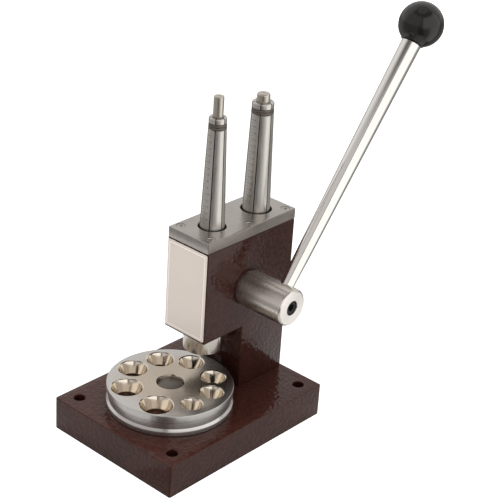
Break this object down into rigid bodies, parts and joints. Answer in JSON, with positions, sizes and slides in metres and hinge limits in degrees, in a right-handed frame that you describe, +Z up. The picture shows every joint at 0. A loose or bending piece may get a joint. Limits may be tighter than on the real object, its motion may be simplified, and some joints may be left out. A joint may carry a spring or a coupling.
{
  "type": "ring stretcher and reducer",
  "caption": "Bench ring stretcher and reducer: slit taper mandrels on a painted head, a turning plate of conical dies under a ram, and a long ball-ended lever",
  "frame": {"origin": "centre of the base's underside", "axes": "+Z up, +Y from the label side to the back, +X towards the lever"},
  "size_m": [0.12, 0.256, 0.2913],
  "materials": {
    "brown_paint": "glossy hammertone",
    "black_oxide": "black oxide, satin",
    "ground_plate": "surface ground",
    "plate_screw": "satin",
    "blank_label": "satin, blank",
    "turned_steel": "fine turned",
    "bronze": "machined",
    "mechanism_steel": "machined",
    "polished_rod": "polished",
    "black_knob": "high gloss",
    "ram_steel": "turned",
    "draw_rod_steel": "turned",
    "mandrel_steel": "ground and engraved",
    "band_black": "dull dark",
    "die_steel": "turned, lapped dies",
    "pivot_steel": "dull turned"
  },
  "bodies": {
    "frame": {"base_plate": "brown_paint", "frame_body": "brown_paint", "top_plate": "ground_plate", "top_plate_screw_1": "plate_screw", "top_plate_screw_2": "plate_screw", "top_plate_screw_3": "plate_screw", "top_plate_screw_4": "plate_screw", "top_plate_screw_5": "plate_screw", "top_plate_screw_6": "plate_screw", "label_plate": "blank_label", "ram_bush": "bronze", "small_band_lower": "band_black", "small_band_upper": "band_black", "large_band_lower": "band_black", "large_band_upper": "band_black", "die_pivot_bolt": "pivot_steel", "column_bolt_1": "black_oxide", "column_bolt_2": "black_oxide", "shaft_bush_right": "turned_steel", "shaft_bush_left": "turned_steel", "small_seat_washer": "mechanism_steel", "large_seat_washer": "mechanism_steel"},
    "lever": {"lever_shaft": "turned_steel", "pinion": "mechanism_steel", "lever_hub": "turned_steel", "hub_end_screw": "black_oxide", "handle_rod": "polished_rod", "handle_knob": "black_knob", "shaft_washer": "turned_steel", "shaft_end_screw": "black_oxide"},
    "cross_slide": {"crosshead": "mechanism_steel", "ram": "ram_steel", "draw_rod_small": "draw_rod_steel", "draw_rod_large": "draw_rod_steel"},
    "dies": {"die_plate": "die_steel"},
    "small_segment_1": {"small_segment_1": "mandrel_steel"},
    "small_segment_2": {"small_segment_2": "mandrel_steel"},
    "small_segment_3": {"small_segment_3": "mandrel_steel"},
    "small_segment_4": {"small_segment_4": "mandrel_steel"},
    "small_segment_5": {"small_segment_5": "mandrel_steel"},
    "small_segment_6": {"small_segment_6": "mandrel_steel"},
    "large_segment_1": {"large_segment_1": "mandrel_steel"},
    "large_segment_2": {"large_segment_2": "mandrel_steel"},
    "large_segment_3": {"large_segment_3": "mandrel_steel"},
    "large_segment_4": {"large_segment_4": "mandrel_steel"},
    "large_segment_5": {"large_segment_5": "mandrel_steel"},
    "large_segment_6": {"large_segment_6": "mandrel_steel"}
  },
  "joints": [
    {"name": "lever_pull", "type": "hinge", "parent": "frame", "child": "lever", "pos_m": [0, 0.033, 0.1045], "axis": [1, 0, 0], "range_deg": [0, 90]},
    {"name": "cross_slide_travel", "type": "slide", "parent": "frame", "child": "cross_slide", "axis": [0, 0, -1], "range_m": [0, 0.0126]},
    {"name": "die_plate_turn", "type": "hinge", "parent": "frame", "child": "dies", "pos_m": [0, -0.0209, 0.033], "axis": [0, 0, 1], "continuous": true},
    {"name": "small_segment_1_spread", "type": "slide", "parent": "frame", "child": "small_segment_1", "axis": [0.866, -0.5, 0], "range_m": [0, 0.00085]},
    {"name": "small_segment_2_spread", "type": "slide", "parent": "frame", "child": "small_segment_2", "axis": [0.866, 0.5, 0], "range_m": [0, 0.00085]},
    {"name": "small_segment_3_spread", "type": "slide", "parent": "frame", "child": "small_segment_3", "axis": [0, 1, 0], "range_m": [0, 0.00085]},
    {"name": "small_segment_4_spread", "type": "slide", "parent": "frame", "child": "small_segment_4", "axis": [-0.866, 0.5, 0], "range_m": [0, 0.00085]},
    {"name": "small_segment_5_spread", "type": "slide", "parent": "frame", "child": "small_segment_5", "axis": [-0.866, -0.5, 0], "range_m": [0, 0.00085]},
    {"name": "small_segment_6_spread", "type": "slide", "parent": "frame", "child": "small_segment_6", "axis": [0, -1, 0], "range_m": [0, 0.00085]},
    {"name": "large_segment_1_spread", "type": "slide", "parent": "frame", "child": "large_segment_1", "axis": [0.866, -0.5, 0], "range_m": [0, 0.00085]},
    {"name": "large_segment_2_spread", "type": "slide", "parent": "frame", "child": "large_segment_2", "axis": [0.866, 0.5, 0], "range_m": [0, 0.00085]},
    {"name": "large_segment_3_spread", "type": "slide", "parent": "frame", "child": "large_segment_3", "axis": [0, 1, 0], "range_m": [0, 0.00085]},
    {"name": "large_segment_4_spread", "type": "slide", "parent": "frame", "child": "large_segment_4", "axis": [-0.866, 0.5, 0], "range_m": [0, 0.00085]},
    {"name": "large_segment_5_spread", "type": "slide", "parent": "frame", "child": "large_segment_5", "axis": [-0.866, -0.5, 0], "range_m": [0, 0.00085]},
    {"name": "large_segment_6_spread", "type": "slide", "parent": "frame", "child": "large_segment_6", "axis": [0, -1, 0], "range_m": [0, 0.00085]}
  ],
  "couplings": [
    {"joint": "cross_slide_travel", "follows": "lever_pull", "m_per_rad": 0.008},
    {"joint": "small_segment_1_spread", "follows": "lever_pull", "m_per_rad": 0.0005336},
    {"joint": "small_segment_2_spread", "follows": "lever_pull", "m_per_rad": 0.0005336},
    {"joint": "small_segment_3_spread", "follows": "lever_pull", "m_per_rad": 0.0005336},
    {"joint": "small_segment_4_spread", "follows": "lever_pull", "m_per_rad": 0.0005336},
    {"joint": "small_segment_5_spread", "follows": "lever_pull", "m_per_rad": 0.0005336},
    {"joint": "small_segment_6_spread", "follows": "lever_pull", "m_per_rad": 0.0005336},
    {"joint": "large_segment_1_spread", "follows": "lever_pull", "m_per_rad": 0.0005336},
    {"joint": "large_segment_2_spread", "follows": "lever_pull", "m_per_rad": 0.0005336},
    {"joint": "large_segment_3_spread", "follows": "lever_pull", "m_per_rad": 0.0005336},
    {"joint": "large_segment_4_spread", "follows": "lever_pull", "m_per_rad": 0.0005336},
    {"joint": "large_segment_5_spread", "follows": "lever_pull", "m_per_rad": 0.0005336},
    {"joint": "large_segment_6_spread", "follows": "lever_pull", "m_per_rad": 0.0005336}
  ]
}
